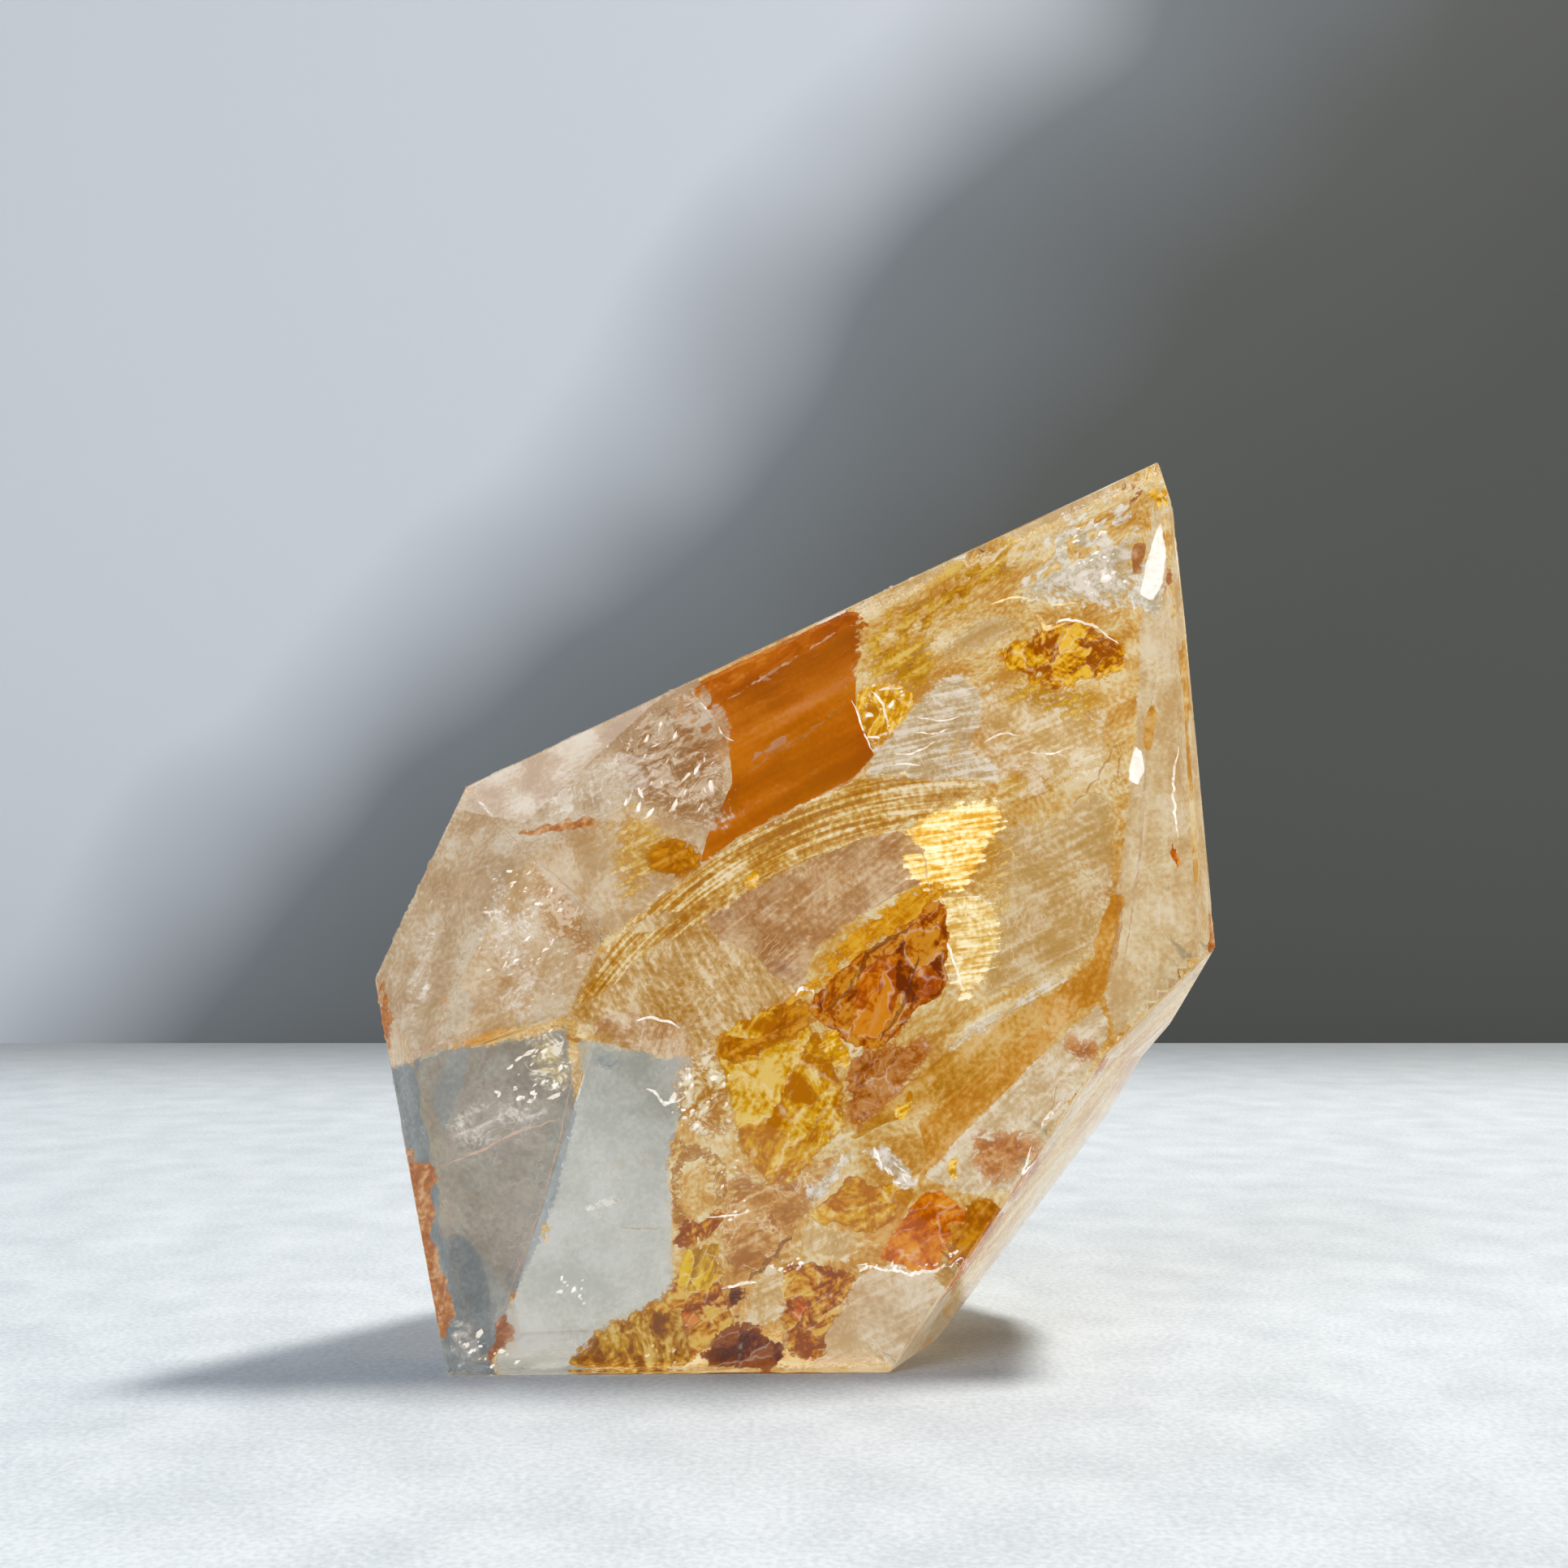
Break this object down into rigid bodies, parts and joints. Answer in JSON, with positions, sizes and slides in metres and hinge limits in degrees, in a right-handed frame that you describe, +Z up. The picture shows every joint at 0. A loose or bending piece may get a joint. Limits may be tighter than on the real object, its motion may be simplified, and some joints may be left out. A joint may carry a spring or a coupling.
{
  "type": "golden healer quartz freeform",
  "caption": "Polished freestanding quartz freeform, clear with golden iron-stained veils inside, leaning up to an off-centre point on a flat foot.",
  "frame": {"origin": "middle of the bounding box at its foot, on the plane of the flat base", "axes": "+Z up from the flat base, -Y out of the large window flat, +X towards the side that overhangs and carries the point"},
  "size_m": [0.0736, 0.0376, 0.0803],
  "materials": {
    "golden_quartz": "polished clear quartz with golden and orange iron stain and milky veils inside"
  },
  "bodies": {
    "root": {"quartz_freeform": "golden_quartz"}
  },
  "joints": []
}
